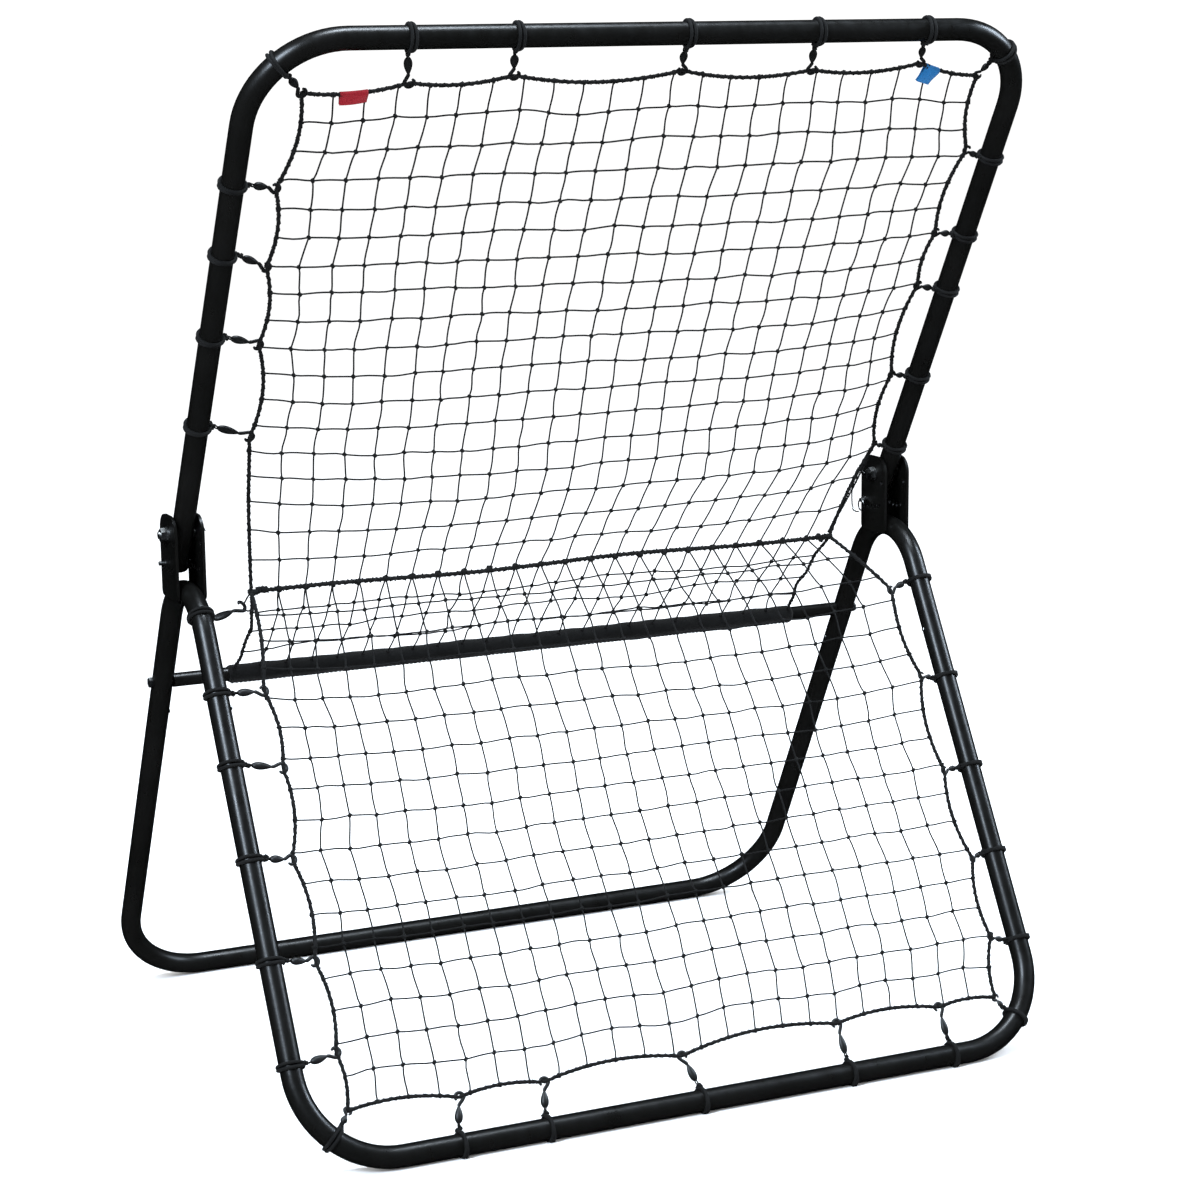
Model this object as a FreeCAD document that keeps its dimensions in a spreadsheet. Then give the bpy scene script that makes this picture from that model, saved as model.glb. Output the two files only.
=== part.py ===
import FreeCAD, Part
import math
import os

import Sketcher
from FreeCAD import Placement, Rotation, Vector

# Pitch back rebounder: an A-frame base of push-fit steel tube, an upper net frame that hinges in
# two welded brackets and is locked by two pull pins, and one knotted net hung on elastic loops.
# Millimetres.  Origin on the floor under the middle of the object, +Z up, front towards -Y.

doc = FreeCAD.newDocument("PitchBackRebounder")
sheet = doc.addObject("Spreadsheet::Sheet", "Sizes")

SIZES = (
    ("side_spacing", 1100, "between the axes of the left and right tubes"),
    ("front_reach", 432, "front bar's axis in front of the origin"),
    ("rear_reach", 434, "rear bar's axis behind the origin"),
    ("tube_dia", 30, "outside diameter of the frame tube"),
    ("tube_wall", 1.5, "wall of the frame tube"),
    ("front_lean", 30.56, "front legs from the vertical, degrees"),
    ("rear_lean", 28.53, "rear legs from the vertical, degrees"),
    ("upper_lean", 29.94, "upper frame from the vertical, degrees"),
    ("foot_bend", 125, "bend radius at the floor corners, to the axis"),
    ("top_bend", 120, "bend radius at the top corners, to the axis"),
    ("apex_bend", 90, "bend radius where the legs meet, to the axis"),
    ("front_seam", 610, "front leg joint, up the leg from the bar's axis"),
    ("rear_seam", 520, "rear leg joint, up the leg from the bar's axis"),
    ("bar_seam", 290, "joint in the front and rear bars, from the middle"),
    ("top_seam", 280, "joint in the top bar, from the middle"),
    ("spigot_dia", 26.7, "outside diameter of a swaged joint end"),
    ("spigot_bore", 23.7, "inside diameter of a swaged joint end"),
    ("spigot_depth", 45, "how far a swaged end goes in"),
    ("spigot_root", 12, "swaged wall inside its own tube"),
    ("pivot_back", 26, "hinge axis behind the origin"),
    ("pivot_height", 765, "hinge axis above the floor"),
    ("upper_length", 761, "hinge axis to the top bar's axis"),
    ("tail_length", 57, "upper tube below the hinge axis"),
    ("plate_gap", 34, "between the two plates of a bracket"),
    ("plate_thick", 4, "bracket plate"),
    ("plate_width", 70, "bracket plate, front to back"),
    ("plate_above", 27, "bracket plate above the hinge axis"),
    ("plate_below", 88, "bracket plate below the hinge axis"),
    ("plate_corner", 24, "upper corner radius of a bracket plate"),
    ("plate_toe", 8, "lower corner radius of a bracket plate"),
    ("lock_radius", 50, "ring of lock holes about the hinge axis"),
    ("lock_first", 30, "rearmost lock hole from straight down, degrees"),
    ("lock_span", 50, "first to last lock hole, degrees"),
    ("lock_count", 5, "number of lock holes"),
    ("lock_hole", 6.6, "diameter of a lock hole"),
    ("lock_pin", 6, "diameter of a lock pin"),
    ("stop_back", 25, "spare hole in front of the hinge axis"),
    ("stop_down", 11, "spare hole below the hinge axis"),
    ("bolt_dia", 10, "hinge bolt"),
    ("bolt_hole", 10.4, "hole for the hinge bolt"),
    ("bush_dia", 14, "steel bush through the upper tube"),
    ("washer_dia", 22, "hinge washer"),
    ("washer_thick", 1.6, "hinge washer"),
    ("head_across", 19.6, "hinge bolt head and nut, across the corners"),
    ("head_height", 6.4, "hinge bolt head"),
    ("nut_height", 8.5, "hinge nut"),
    ("cross_along", 590, "crossbar up the rear leg from the bar's axis"),
    ("cross_dia", 20, "crossbar"),
    ("cross_wall", 1.5, "crossbar wall"),
    ("cross_bolt", 8, "bolt that holds the crossbar"),
    ("cross_hole", 8.4, "hole in the leg for that bolt"),
    ("cross_plug", 30, "threaded plug in the crossbar's end"),
    ("cross_head", 15, "head of the crossbar's bolt, across the corners"),
    ("sleeve_length", 910, "fabric sleeve on the crossbar"),
    ("sleeve_dia", 29, "fabric sleeve, outside"),
    ("sleeve_bore", 20.8, "fabric sleeve, inside"),
    ("button_dia", 6, "snap button"),
    ("button_hole", 6.6, "hole for a snap button"),
    ("button_proud", 2.2, "snap button above the tube"),
    ("button_along", 12, "snap button past the joint"),
    ("net_half", 478, "half width of the netting"),
    ("net_thick", 3, "thickness allowed for the knotted netting"),
    ("cord_half", 490, "edge cord's line from the middle"),
    ("cord_dia", 4, "edge cord"),
    ("top_drop", 62, "top edge cord below the top bar's axis"),
    ("foot_rise", 66, "bottom edge cord up the leg from the bar's axis"),
    ("side_reach", 722, "side runs of the edge cord, from a bar's axis"),
    ("fold_back", 28, "fold cord behind the origin"),
    ("fold_height", 675, "fold cord above the floor"),
    ("fold_half", 455, "fold cord's half length"),
    ("fold_dia", 8, "fold cord with its lashing"),
    ("loop_thick", 2, "elastic loop wound on a tube"),
    ("loop_width", 8, "elastic loop along the tube"),
    ("knot_dia", 8, "gathered knot of an elastic loop"),
    ("hook_wire", 3.2, "plastic S-hook stock"),
    ("hook_bend", 5, "radius of the S-hook's open end"),
)
for row, (alias, value, note) in enumerate(SIZES, start=1):
    sheet.set(f"A{row}", note)
    sheet.set(f"B{row}", str(value))
    sheet.setAlias(f"B{row}", alias)
doc.recompute()


def size(alias):
    """Value of one cell of the sheet."""
    return float(sheet.get(alias))


# --- where things are, worked out from the sheet ------------------------------------------------

RIGHT = 1
LEFT = -1
SIDE_NAMES = ((LEFT, "left"), (RIGHT, "right"))
X_AXIS = Vector(1, 0, 0)
TUBE_R = size("tube_dia") / 2
HALF = size("side_spacing") / 2
FRONT_FOOT = Vector(0, -size("front_reach"), TUBE_R)
REAR_FOOT = Vector(0, size("rear_reach"), TUBE_R)
PIVOT = Vector(0, size("pivot_back"), size("pivot_height"))


def tilted(degrees):
    """Unit vector up a member that leans back by this angle from the vertical."""
    angle = math.radians(degrees)
    return Vector(0, math.sin(angle), math.cos(angle))


FRONT_UP = tilted(size("front_lean"))
REAR_UP = tilted(-size("rear_lean"))
UPPER_UP = tilted(-size("upper_lean"))
FRONT_NORMAL = X_AXIS.cross(FRONT_UP)
UPPER_NORMAL = X_AXIS.cross(UPPER_UP)
TOP_BAR = PIVOT + UPPER_UP * size("upper_length")
FOLD = Vector(0, size("fold_back"), size("fold_height"))
TOP_EDGE = TOP_BAR - UPPER_UP * size("top_drop")
FOOT_EDGE = FRONT_FOOT + FRONT_UP * size("foot_rise")
CROSSBAR = REAR_FOOT + REAR_UP * size("cross_along")

APEX_RISE = (REAR_FOOT.y - FRONT_FOOT.y) / (
    math.tan(math.radians(size("front_lean"))) + math.tan(math.radians(size("rear_lean"))))
FRONT_TO_APEX = APEX_RISE / FRONT_UP.z
REAR_TO_APEX = APEX_RISE / REAR_UP.z
APEX_TURN = 180 - size("front_lean") - size("rear_lean")
APEX_TANGENT = size("apex_bend") * math.tan(math.radians(APEX_TURN / 2))
APEX = FRONT_FOOT + FRONT_UP * FRONT_TO_APEX
APEX_CENTRE_DROP = size("apex_bend") / math.cos(math.radians(APEX_TURN / 2))


def across(x):
    """Point x from the middle, on the line of the vector that it is added to."""
    return Vector(x, 0, 0)


def frame_from(point, x_dir, z_dir):
    """Placement with local +X and +Z along these directions."""
    return Placement(point, Rotation(x_dir, z_dir.cross(x_dir), z_dir, "ZXY"))


def along(point, direction):
    """Placement with local +Z along a direction."""
    return Placement(point, Rotation(Vector(0, 0, 1), direction))


# --- building blocks ----------------------------------------------------------------------------

NODES = []


def keep(obj, label):
    """Gives a finished sub-part its name and puts it on the list to export."""
    obj.Label = label
    NODES.append(obj)
    return obj


def bind(obj, **expressions):
    for name, expression in expressions.items():
        obj.setExpression(name, expression)


def primitive(kind, name, place, **expressions):
    obj = doc.addObject(kind, name)
    bind(obj, **expressions)
    obj.Placement = place
    return obj


def cylinder(name, place, radius, height):
    return primitive("Part::Cylinder", name, place, Radius=radius, Height=height)


def fuse(name, shapes):
    obj = doc.addObject("Part::MultiFuse", name)
    obj.Shapes = shapes
    return obj


def cut(name, base, tools):
    obj = doc.addObject("Part::Cut", name)
    obj.Base = base
    obj.Tool = tools[0] if len(tools) == 1 else fuse(name + "_tools", tools)
    return obj


def origin_plane(body, role):
    return next(item for item in body.Origin.OriginFeatures if item.Role == role)


def sketch_on(body, role, name):
    sketch = body.newObject("Sketcher::SketchObject", name)
    sketch.AttachmentSupport = [(origin_plane(body, role), "")]
    sketch.MapMode = "FlatFace"
    return sketch


def measured(sketch, kind, places, value, expression):
    """Adds one driving constraint and binds it to the sheet."""
    index = sketch.addConstraint(Sketcher.Constraint(kind, *places, value))
    sketch.setExpression(f"Constraints[{index}]", expression)


def ring_sketch(body, name, outer, inner):
    """Two circles about the body's Z axis, with radii given as expressions."""
    sketch = sketch_on(body, "XY_Plane", name)
    for index, (radius, expression) in enumerate(((2, outer), (1, inner))):
        sketch.addGeometry(Part.Circle(Vector(0, 0, 0), Vector(0, 0, 1), radius))
        sketch.addConstraint(Sketcher.Constraint("Coincident", index, 3, -1, 1))
        measured(sketch, "Radius", (index,), radius, expression)
    return sketch


def bent_tube(name, first, turn, radius, second, place):
    """Tube that starts at the local origin along +Z, turns towards +X and runs on straight.

    first and second are the straight lengths, turn is in degrees and radius is a cell's alias.
    """
    body = doc.addObject("PartDesign::Body", name)
    profile = ring_sketch(body, name + "_section", "Sizes.tube_dia / 2",
                          "Sizes.tube_dia / 2 - Sizes.tube_wall")
    bend = size(radius)
    leave = math.radians(180 - turn)
    bend_end = Vector(bend + bend * math.cos(leave), first + bend * math.sin(leave), 0)
    run_on = Vector(math.sin(math.radians(turn)), math.cos(math.radians(turn)), 0)
    path = sketch_on(body, "XZ_Plane", name + "_path")
    path.addGeometry(Part.LineSegment(Vector(0, 0, 0), Vector(0, first, 0)))
    circle = Part.Circle(Vector(bend, first, 0), Vector(0, 0, 1), bend)
    path.addGeometry(Part.ArcOfCircle(circle, leave, math.pi))
    path.addGeometry(Part.LineSegment(bend_end, bend_end + run_on * second))
    path.addConstraint([
        Sketcher.Constraint("Coincident", 0, 1, -1, 1),
        Sketcher.Constraint("Vertical", 0),
        Sketcher.Constraint("Tangent", 0, 2, 1, 2),
        Sketcher.Constraint("Tangent", 1, 1, 2, 1),
        Sketcher.Constraint("Angle", 2, math.radians(90 - turn)),
        Sketcher.Constraint("Distance", 0, first),
        Sketcher.Constraint("Distance", 2, second),
    ])
    measured(path, "Radius", (1,), bend, "Sizes." + radius)
    doc.recompute()
    pipe = body.newObject("PartDesign::AdditivePipe", name + "_pipe")
    pipe.Profile = profile
    pipe.Spine = (path, ["Edge1", "Edge2", "Edge3"])
    body.Tip = pipe
    body.Placement = place
    return body


def swaged_end(name, place):
    """Reduced end that pushes into the next tube; it points along local -Z."""
    depth = "Sizes.spigot_depth"
    reach = size("spigot_depth")
    stem = cylinder(name + "_stem", place * Placement(Vector(0, 0, -reach), Rotation()),
                    "Sizes.spigot_dia / 2", depth)
    root = cylinder(name + "_root", place, "Sizes.tube_dia / 2 - Sizes.tube_wall / 2",
                    "Sizes.spigot_root")
    bore = cylinder(name + "_bore", place * Placement(Vector(0, 0, -reach), Rotation()),
                    "Sizes.spigot_bore / 2", depth + " + Sizes.spigot_root")
    return cut(name, fuse(name + "_solid", [stem, root]), [bore])


def cross_hole(name, centre, radius, length):
    """Cutter along X, centred on a point."""
    place = along(centre - across(length / 2), X_AXIS)
    return cylinder(name, place, radius, str(length))


# --- frame tubes --------------------------------------------------------------------------------

def straight_bar(label, centre, seam):
    """Straight middle of a bar, with a swaged end each side."""
    half = size(seam)
    left_end = frame_from(centre - across(half), Vector(0, 0, 1), X_AXIS)
    right_end = frame_from(centre + across(half), Vector(0, 0, 1), X_AXIS * -1)
    outer = cylinder(label + "_outer", left_end, "Sizes.tube_dia / 2", f"2 * Sizes.{seam}")
    inner = cylinder(label + "_inner", left_end, "Sizes.tube_dia / 2 - Sizes.tube_wall",
                     f"2 * Sizes.{seam}")
    wall = cut(label + "_wall", outer, [inner])
    ends = [swaged_end(label + "_end_a", left_end), swaged_end(label + "_end_b", right_end)]
    return keep(fuse(label + "_tube", [wall] + ends), label)


def floor_corner(label, foot, up, side, seam, reach_in):
    """Corner tube from the leg's joint down to the floor and in to the bar's joint."""
    bend = size("foot_bend")
    start = frame_from(foot + across(side * HALF) + up * size(seam), X_AXIS * -side, up * -1)
    tube = bent_tube(label + "_bend", size(seam) - bend, 90, "foot_bend",
                     HALF - bend - reach_in, start)
    spigot = swaged_end(label + "_end", start)
    whole = fuse(label + "_whole", [tube, spigot])
    button = foot + across(side * (HALF - TUBE_R)) + up * (size(seam) + size("button_along"))
    hole = cross_hole(label + "_button_hole", button, "Sizes.button_hole / 2", TUBE_R)
    return keep(cut(label + "_cut", whole, [hole]), label)


def apex_tube(label, side):
    """Inverted V from the front leg's joint, over the apex, to the rear leg's joint."""
    x = across(side * HALF)
    start = FRONT_FOOT + x + FRONT_UP * size("front_seam")
    forward = (REAR_UP * -1).cross(FRONT_UP).cross(FRONT_UP) * -1
    place = frame_from(start, forward.normalize(), FRONT_UP)
    tube = bent_tube(label + "_bend", FRONT_TO_APEX - APEX_TANGENT - size("front_seam"), APEX_TURN,
                     "apex_bend", REAR_TO_APEX - APEX_TANGENT - size("rear_seam"), place)
    holes = [cross_hole(label + "_cross_hole", CROSSBAR + x, "Sizes.cross_hole / 2", 3 * TUBE_R)]
    for foot, up, seam in ((FRONT_FOOT, FRONT_UP, "front_seam"), (REAR_FOOT, REAR_UP, "rear_seam")):
        button = foot + x - across(side * TUBE_R) + up * (size(seam) + size("button_along"))
        holes.append(cross_hole(f"{label}_{seam}_hole", button, "Sizes.button_hole / 2", TUBE_R))
    return keep(cut(label + "_cut", tube, holes), label)


def upper_tube(label, side):
    """Side tube of the upper frame, from its tail in the bracket to the top bar's joint."""
    x = across(side * HALF)
    tail = PIVOT + x - UPPER_UP * size("tail_length")
    place = frame_from(tail, X_AXIS * -side, UPPER_UP)
    bend = size("top_bend")
    tube = bent_tube(label + "_bend", size("tail_length") + size("upper_length") - bend, 90,
                     "top_bend", HALF - bend - size("top_seam"), place)
    bush_hole = cross_hole(label + "_bush_hole", PIVOT + x, "Sizes.bush_dia / 2", 3 * TUBE_R)
    pin = PIVOT + x - UPPER_UP * size("lock_radius")
    seat = cross_hole(label + "_pin_seat", pin, "Sizes.lock_pin / 2 + 0.4", 3 * TUBE_R)
    # The pin's way out of the seat is an arc about the hinge, so the mouth is wider upwards.
    clear = size("lock_pin") / 2 + 0.4
    arc_rise = 2.6
    mouth = doc.addObject("Part::Box", label + "_pin_mouth")
    bind(mouth, Width="Sizes.tube_dia")
    mouth.Length = 3 * TUBE_R
    mouth.Height = 2 * clear + arc_rise
    corner = pin - across(1.5 * TUBE_R) - UPPER_UP * clear
    mouth.Placement = Placement(corner, Rotation(X_AXIS, UPPER_NORMAL * -1, UPPER_UP, "ZXY"))
    return keep(cut(label + "_cut", tube, [bush_hole, seat, mouth]), label)


straight_bar("front_bar", FRONT_FOOT, "bar_seam")
straight_bar("rear_bar", REAR_FOOT, "bar_seam")
straight_bar("top_bar", TOP_BAR, "top_seam")
for side, name in SIDE_NAMES:
    floor_corner("front_corner_" + name, FRONT_FOOT, FRONT_UP, side, "front_seam", size("bar_seam"))
    floor_corner("rear_corner_" + name, REAR_FOOT, REAR_UP, side, "rear_seam", size("bar_seam"))
    apex_tube("apex_tube_" + name, side)
    upper_tube("upper_tube_" + name, side)


# --- brackets and their hardware ----------------------------------------------------------------

def bracket_plate(label, x):
    """Flat plate drawn about the hinge axis, with its lock holes on a ring."""
    body = doc.addObject("PartDesign::Body", label + "_plate")
    half = size("plate_width") / 2
    low = -size("plate_below")
    high = size("plate_above")
    outline = sketch_on(body, "YZ_Plane", label + "_outline")
    corners = [Vector(-half, low, 0), Vector(half, low, 0), Vector(half, high, 0),
               Vector(-half, high, 0)]
    for index in range(4):
        outline.addGeometry(Part.LineSegment(corners[index], corners[(index + 1) % 4]))
    for index in range(4):
        outline.addConstraint(Sketcher.Constraint("Coincident", index, 2, (index + 1) % 4, 1))
    for index in (0, 2):
        outline.addConstraint(Sketcher.Constraint("Horizontal", index))
    for index in (1, 3):
        outline.addConstraint(Sketcher.Constraint("Vertical", index))
    measured(outline, "DistanceX", (-1, 1, 1, 1), half, "Sizes.plate_width / 2")
    measured(outline, "DistanceX", (3, 1, -1, 1), half, "Sizes.plate_width / 2")
    measured(outline, "DistanceY", (-1, 1, 2, 1), high, "Sizes.plate_above")
    measured(outline, "DistanceY", (0, 1, -1, 1), -low, "Sizes.plate_below")
    pad = body.newObject("PartDesign::Pad", label + "_pad")
    pad.Profile = outline
    bind(pad, Length="Sizes.plate_thick")
    doc.recompute()
    for part, level, radius in (("top", high, "plate_corner"), ("toe", low, "plate_toe")):
        base = body.Tip
        names = [f"Edge{number}" for number, edge in enumerate(base.Shape.Edges, start=1)
                 if edge.BoundBox.XLength > 1 and abs(edge.CenterOfMass.z - level) < 0.01]
        fillet = body.newObject("PartDesign::Fillet", f"{label}_{part}_fillet")
        fillet.Base = (base, names)
        bind(fillet, Radius="Sizes." + radius)
        body.Tip = fillet
        doc.recompute()
    holes = sketch_on(body, "YZ_Plane", label + "_holes")
    stop = Vector(-size("stop_back"), -size("stop_down"), 0)
    for index, (centre, radius) in enumerate(((Vector(0, 0, 0), "bolt_hole"), (stop, "lock_hole"))):
        holes.addGeometry(Part.Circle(centre, Vector(0, 0, 1), size(radius) / 2))
        measured(holes, "Radius", (index,), size(radius) / 2, f"Sizes.{radius} / 2")
    holes.addConstraint(Sketcher.Constraint("Coincident", 0, 3, -1, 1))
    measured(holes, "DistanceX", (1, 3, -1, 1), size("stop_back"), "Sizes.stop_back")
    measured(holes, "DistanceY", (1, 3, -1, 1), size("stop_down"), "Sizes.stop_down")
    angle = math.radians(size("lock_first"))
    first = Vector(math.sin(angle), -math.cos(angle), 0) * size("lock_radius")
    lock = sketch_on(body, "YZ_Plane", label + "_lock")
    lock.addGeometry(Part.Circle(first, Vector(0, 0, 1), size("lock_hole") / 2))
    measured(lock, "Radius", (0,), size("lock_hole") / 2, "Sizes.lock_hole / 2")
    measured(lock, "DistanceX", (-1, 1, 0, 3), first.x, "Sizes.lock_radius * sin(Sizes.lock_first)")
    measured(lock, "DistanceY", (0, 3, -1, 1), -first.y,
             "Sizes.lock_radius * cos(Sizes.lock_first)")
    for part, profile in (("bores", holes), ("lock_bore", lock)):
        pocket = body.newObject("PartDesign::Pocket", f"{label}_{part}")
        pocket.Profile = profile
        pocket.Type = "ThroughAll"
        pocket.Reversed = True
        body.Tip = pocket
        doc.recompute()
    pattern = body.newObject("PartDesign::PolarPattern", label + "_lock_ring")
    pattern.Originals = [pocket]
    pattern.Axis = (origin_plane(body, "X_Axis"), [""])
    pattern.Reversed = True
    bind(pattern, Angle="Sizes.lock_span", Occurrences="Sizes.lock_count")
    body.Tip = pattern
    body.Placement = Placement(PIVOT + across(x), Rotation())
    return keep(body, label)


def hex_head(name, place, height):
    return primitive("Part::Prism", name, place, Circumradius="Sizes.head_across / 2",
                     Height=height)


def grouped(label, solids):
    """One node that holds several separate solids."""
    obj = doc.addObject("Part::Compound", label + "_group")
    obj.Links = solids
    return keep(obj, label)


def washer(name, place):
    disc = cylinder(name + "_disc", place, "Sizes.washer_dia / 2", "Sizes.washer_thick")
    bore = cylinder(name + "_bore", place, "Sizes.bolt_hole / 2", "Sizes.washer_thick")
    return cut(name, disc, [bore])


GAP = size("plate_gap") / 2
THICK = size("plate_thick")
STACK = GAP + THICK + size("washer_thick")
THREAD_END = 2.5
bolts = []
nuts = []
bushes = []
for side, name in SIDE_NAMES:
    centre = across(side * HALF)
    bracket_plate("bracket_outer_" + name, side * (HALF + GAP + THICK / 2) - THICK / 2)
    bracket_plate("bracket_inner_" + name, side * (HALF - GAP - THICK / 2) - THICK / 2)
    outward = X_AXIS * side
    at_head = along(PIVOT + centre - outward * STACK, outward * -1)
    at_shank = along(PIVOT + centre - outward * STACK, outward)
    at_nut = along(PIVOT + centre + outward * STACK, outward)
    grip = "Sizes.plate_gap + 2 * Sizes.plate_thick + 2 * Sizes.washer_thick"
    head = hex_head(f"hinge_head_{name}", at_head, "Sizes.head_height")
    shank = cylinder(f"hinge_shank_{name}", at_shank, "Sizes.bolt_dia / 2",
                     f"{grip} + Sizes.nut_height + {THREAD_END}")
    bolts.append(fuse(f"hinge_bolt_{name}", [head, shank]))
    nut = hex_head(f"hinge_nut_{name}_hex", at_nut, "Sizes.nut_height")
    thread = cylinder(f"hinge_nut_{name}_bore", at_nut, "Sizes.bolt_dia / 2", "Sizes.nut_height")
    nuts.append(cut(f"hinge_nut_{name}", nut, [thread]))
    inner_washer = along(PIVOT + centre - outward * STACK, outward)
    outer_washer = along(PIVOT + centre + outward * (GAP + THICK), outward)
    grouped("hinge_washers_" + name, [washer(f"washer_in_{name}", inner_washer),
                                      washer(f"washer_out_{name}", outer_washer)])
    bush_half = GAP - 0.4
    at_bush = along(PIVOT + centre - across(bush_half), X_AXIS)
    bush = cylinder(f"bush_{name}_outer", at_bush, "Sizes.bush_dia / 2", "Sizes.plate_gap - 0.8")
    bush_bore = cylinder(f"bush_{name}_bore", at_bush, "Sizes.bolt_dia / 2 + 0.05",
                         "Sizes.plate_gap - 0.8")
    bushes.append(cut(f"bush_{name}", bush, [bush_bore]))
grouped("hinge_bolts", bolts)
grouped("hinge_nuts", nuts)
grouped("hinge_bushes", bushes)


def weld_runs(label, side):
    """Weld metal between the side of the bend and the two bracket plates."""
    runs = []
    length = 36
    depth = 5
    root = TUBE_R - size("tube_wall") + 0.1
    bend = next(node for node in NODES if node.Label == "apex_tube_" + label)
    crown = Vector(side * HALF, APEX.y, APEX.z - APEX_CENTRE_DROP + size("apex_bend"))
    for way in (-1, 1):
        bar = doc.addObject("Part::Box", f"weld_{label}_{way + 1}_bar")
        bind(bar, Length=f"Sizes.plate_gap / 2 - {root}")
        bar.Width = length
        bar.Height = depth
        low_x = crown.x + (root if way > 0 else -GAP)
        bar.Placement = Placement(Vector(low_x, crown.y - length / 2, crown.z - depth + 1), Rotation())
        runs.append(cut(f"weld_{label}_{way + 1}", bar, [bend]))
    return grouped("bracket_welds_" + label, runs)


for side, name in SIDE_NAMES:
    weld_runs(name, side)


# --- crossbar -----------------------------------------------------------------------------------

def tube_across(label, outer, inner, length, height):
    """Hollow tube along X, centred on the crossbar's line; height is the expression for length."""
    start = along(CROSSBAR - across(length / 2), X_AXIS)
    skin = cylinder(label + "_outer", start, outer, height)
    core = cylinder(label + "_inner", start, inner, height)
    return keep(cut(label + "_tube", skin, [core]), label)


CROSS_LENGTH = 2 * (HALF - TUBE_R)
tube_across("crossbar", "Sizes.cross_dia / 2", "Sizes.cross_dia / 2 - Sizes.cross_wall",
            CROSS_LENGTH, str(CROSS_LENGTH))
tube_across("anchor_sleeve", "Sizes.sleeve_dia / 2", "Sizes.sleeve_bore / 2",
            size("sleeve_length"), "Sizes.sleeve_length")
plugs = []
cross_bolts = []
HEAD_HEIGHT = 5.3
BOLT_SHORT = 4
for side, name in SIDE_NAMES:
    inward = X_AXIS * -side
    at_end = along(CROSSBAR - inward * (CROSS_LENGTH / 2), inward)
    plug = cylinder(f"cross_plug_{name}_outer", at_end, "Sizes.cross_dia / 2 - Sizes.cross_wall",
                    "Sizes.cross_plug")
    thread = cylinder(f"cross_plug_{name}_bore", at_end, "Sizes.cross_bolt / 2",
                      "Sizes.cross_plug")
    plugs.append(cut(f"cross_plug_{name}", plug, [thread]))
    at_leg = along(CROSSBAR - inward * (HALF + TUBE_R), inward)
    shank = cylinder(f"cross_shank_{name}", at_leg, "Sizes.cross_bolt / 2",
                     f"Sizes.tube_dia + Sizes.cross_plug - {BOLT_SHORT}")
    at_head = along(CROSSBAR - inward * (HALF + TUBE_R), inward * -1)
    head = primitive("Part::Prism", f"cross_head_{name}", at_head,
                     Circumradius="Sizes.cross_head / 2")
    head.Height = HEAD_HEIGHT
    cross_bolts.append(fuse(f"cross_bolt_{name}", [head, shank]))
grouped("crossbar_plugs", plugs)
grouped("crossbar_bolts", cross_bolts)


# --- snap buttons and their springs -------------------------------------------------------------

BUTTON_TAIL = 8
BUTTON_ROUND = 1.6
SPRING_LENGTH = 40
SPRING_BELOW = 34
SPRING_THICK = 1
SPRING_WIDTH = 8
springs = []
for part, foot, up, seam in (("front", FRONT_FOOT, FRONT_UP, "front_seam"),
                             ("rear", REAR_FOOT, REAR_UP, "rear_seam")):
    for side, name in SIDE_NAMES:
        outward = X_AXIS * side
        wall = foot + across(side * (HALF - TUBE_R)) + up * (size(seam) + size("button_along"))
        tip = wall - outward * size("button_proud")
        stem = cylinder(f"snap_{part}_{name}_stem", along(tip, outward), "Sizes.button_dia / 2",
                        f"Sizes.button_proud + {BUTTON_TAIL}")
        button = doc.addObject("Part::Fillet", f"snap_{part}_{name}_round")
        doc.recompute()
        button.Base = stem
        crown_edge = min(range(len(stem.Shape.Edges)), key=lambda i: abs(
            stem.Shape.Edges[i].BoundBox.Center.x - tip.x) + 100 * stem.Shape.Edges[i].BoundBox.XLength)
        button.Edges = [(crown_edge + 1, BUTTON_ROUND, BUTTON_ROUND)]
        keep(button, f"snap_button_{part}_{name}")
        leaf = doc.addObject("Part::Box", f"snap_{part}_{name}_leaf")
        leaf.Length = SPRING_THICK
        leaf.Width = SPRING_WIDTH
        leaf.Height = SPRING_LENGTH
        sideways = up.cross(outward)
        corner = wall + outward * BUTTON_TAIL - up * SPRING_BELOW - sideways * (SPRING_WIDTH / 2)
        leaf.Placement = Placement(corner, Rotation(outward, sideways, up, "ZXY"))
        springs.append(leaf)
grouped("snap_springs", springs)


# --- lock pins ----------------------------------------------------------------------------------

PIN_INSIDE = 8
PIN_OUTSIDE = 6
RING_R = 8
RING_WIRE = 1.1
COLLAR_LENGTH = 3
COLLAR_OVER = 2.5
for side, name in SIDE_NAMES:
    outward = X_AXIS * side
    hole = PIVOT + across(side * HALF) - UPPER_UP * size("lock_radius")
    start = hole - outward * (GAP + THICK + PIN_INSIDE)
    shaft = cylinder(f"lock_{name}_shaft", along(start, outward), "Sizes.lock_pin / 2",
                     f"Sizes.plate_gap + 2 * Sizes.plate_thick + {PIN_INSIDE + PIN_OUTSIDE}")
    collar_place = along(hole - outward * (GAP + THICK + COLLAR_LENGTH + 0.4), outward)
    collar = cylinder(f"lock_{name}_collar", collar_place, f"Sizes.lock_pin / 2 + {COLLAR_OVER}",
                      str(COLLAR_LENGTH))
    ring = doc.addObject("Part::Torus", f"lock_{name}_ring")
    ring.Radius1 = RING_R
    ring.Radius2 = RING_WIRE
    ring.Placement = along(start + outward * 2 - Vector(0, 0, RING_R), X_AXIS)
    keep(fuse(f"lock_{name}_whole", [shaft, collar, ring]), "lock_pin_" + name)


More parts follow.
